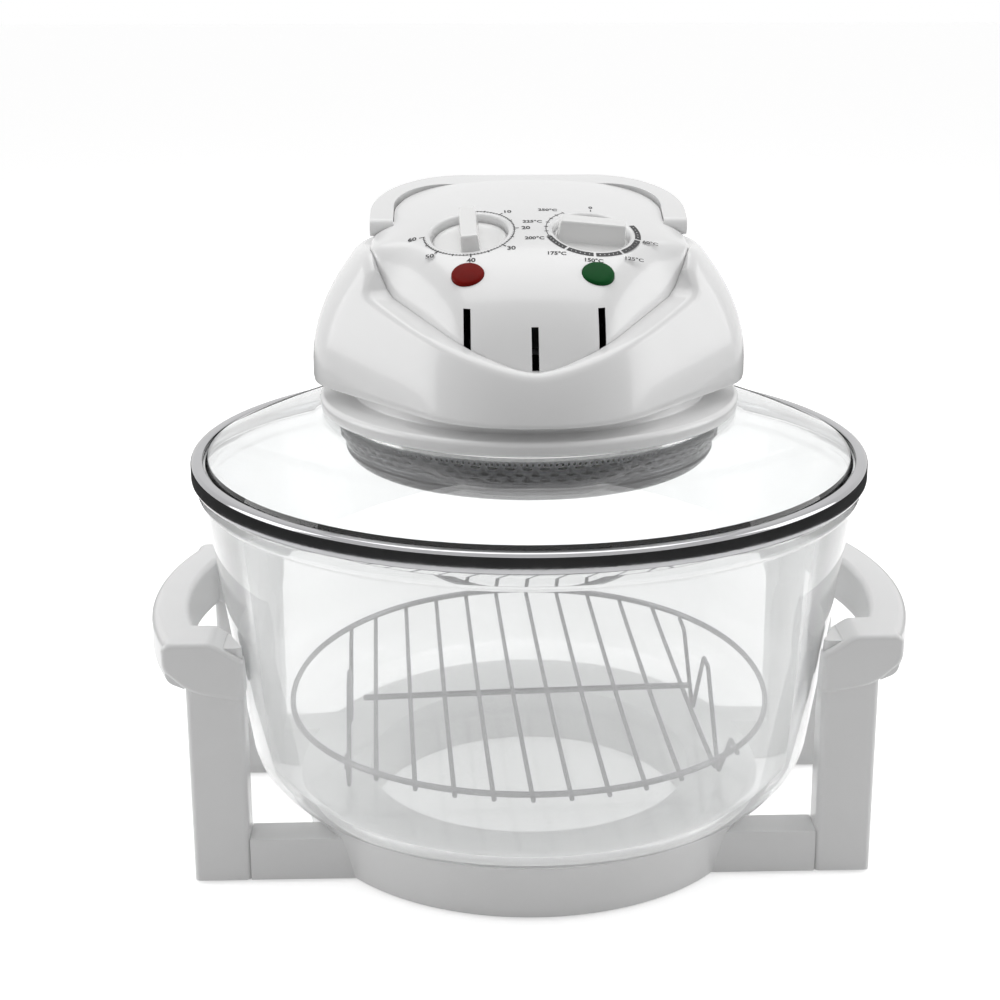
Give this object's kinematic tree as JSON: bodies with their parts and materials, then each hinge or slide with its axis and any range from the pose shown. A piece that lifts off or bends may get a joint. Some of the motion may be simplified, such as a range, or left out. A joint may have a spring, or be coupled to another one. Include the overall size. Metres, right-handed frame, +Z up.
{
  "type": "halogen oven",
  "caption": "Countertop glass-bowl oven: a bowl in a stand with side grips, a wire rack, and a lift-off glass lid whose head holds heater, fan, dials and a folding handle.",
  "frame": {"origin": "on the table, below the middle of the bowl, at the undersides of the feet", "axes": "X right, Y back, Z up; the controls face -Y and the grips are on -X and +X"},
  "size_m": [0.384, 0.338, 0.3331],
  "materials": {
    "stand_plastic": "glossy white moulding",
    "grip_plastic": "glossy white moulding",
    "head_plastic": "glossy white moulding",
    "knob_plastic": "glossy white moulding",
    "screw_steel": "zinc-plated",
    "foot_rubber": "matt",
    "bowl_glass": "clear",
    "lid_glass": "clear",
    "rack_wire": "bright plated",
    "rim_steel": "polished",
    "guard_steel": "polished",
    "reflector": "bright",
    "quartz": "frosted",
    "ceramic": "unglazed ceramic",
    "insulation": "fibre board",
    "inner_steel": "plain sheet",
    "motor_iron": "laminated iron",
    "coil": "enamelled copper wire",
    "fan_plastic": "matt",
    "fan_aluminium": "plain",
    "bell_brass": "plain",
    "unit_tan": "phenolic",
    "lens_red": "clear red",
    "lens_green": "clear green",
    "switch_black": "matt",
    "plunger_red": "matt",
    "inlet_black": "matt"
  },
  "bodies": {
    "stand": {"stand_base": "stand_plastic", "left_front_post": "stand_plastic", "left_rear_post": "stand_plastic", "right_front_post": "stand_plastic", "right_rear_post": "stand_plastic", "left_grip": "grip_plastic", "right_grip": "grip_plastic", "frame_screws": "screw_steel", "rubber_feet": "foot_rubber"},
    "bowl": {"glass_bowl": "bowl_glass"},
    "rack": {"rack_grate": "rack_wire", "rack_legs": "rack_wire"},
    "lid": {"lid_rim": "rim_steel", "lid_glass": "lid_glass", "lid_collar": "head_plastic", "heater_guard": "guard_steel", "guard_screws": "screw_steel", "reflector_dish": "reflector", "halogen_tube": "quartz", "lamp_end_caps": "ceramic", "lamp_clips": "inner_steel", "insulation_plate": "insulation", "chassis_plate": "inner_steel", "thermostat_probe": "inner_steel", "head_body": "head_plastic", "control_cover": "head_plastic", "housing_screws": "screw_steel", "motor_bracket": "inner_steel", "motor_stator": "motor_iron", "motor_coil": "coil", "bearing_brackets": "inner_steel", "timer_unit": "inner_steel", "timer_bell": "bell_brass", "thermostat_unit": "unit_tan", "power_lens": "lens_red", "heat_lens": "lens_green", "lamp_holders": "ceramic", "safety_switch": "switch_black", "handle_pins": "screw_steel", "power_inlet": "inlet_black", "inlet_pins": "screw_steel"},
    "fan": {"motor_shaft": "inner_steel", "motor_rotor": "inner_steel", "cooling_fan": "fan_plastic", "hot_air_fan": "fan_aluminium", "fan_nut": "screw_steel"},
    "timer_control": {"timer_spindle": "inner_steel", "timer_knob": "knob_plastic"},
    "temperature_control": {"temperature_spindle": "inner_steel", "temperature_knob": "knob_plastic"},
    "handle": {"carry_handle": "head_plastic"},
    "plunger": {"switch_plunger": "plunger_red"}
  },
  "joints": [
    {"name": "bowl_lift", "type": "slide", "parent": "stand", "child": "bowl", "axis": [0, 0, 1], "range_m": [0, 0.2]},
    {"name": "rack_lift", "type": "slide", "parent": "bowl", "child": "rack", "axis": [0, 0, 1], "range_m": [0, 0.11]},
    {"name": "lid_lift", "type": "slide", "parent": "bowl", "child": "lid", "axis": [0, 0, 1], "range_m": [0, 0.2]},
    {"name": "fan_spin", "type": "hinge", "parent": "lid", "child": "fan", "pos_m": [0, 0, 0.25], "axis": [0, 0, 1], "continuous": true},
    {"name": "timer_turn", "type": "hinge", "parent": "lid", "child": "timer_control", "pos_m": [-0.0295, -0.0186, 0.31716], "axis": [-0.0933, -0.3021, 0.9487], "range_deg": [-270, 0]},
    {"name": "temperature_turn", "type": "hinge", "parent": "lid", "child": "temperature_control", "pos_m": [0.0295, -0.0186, 0.31716], "axis": [0.0933, -0.3021, 0.9487], "range_deg": [-232, 90]},
    {"name": "handle_swing", "type": "hinge", "parent": "lid", "child": "handle", "pos_m": [0, 0.009, 0.3149], "axis": [1, 0, 0], "range_deg": [0, 70]},
    {"name": "plunger_rise", "type": "slide", "parent": "lid", "child": "plunger", "axis": [0, -0.2588, 0.9659], "range_m": [0, 0.0026]}
  ],
  "couplings": [
    {"joint": "plunger_rise", "follows": "handle_swing", "m_per_rad": 0.002046}
  ]
}
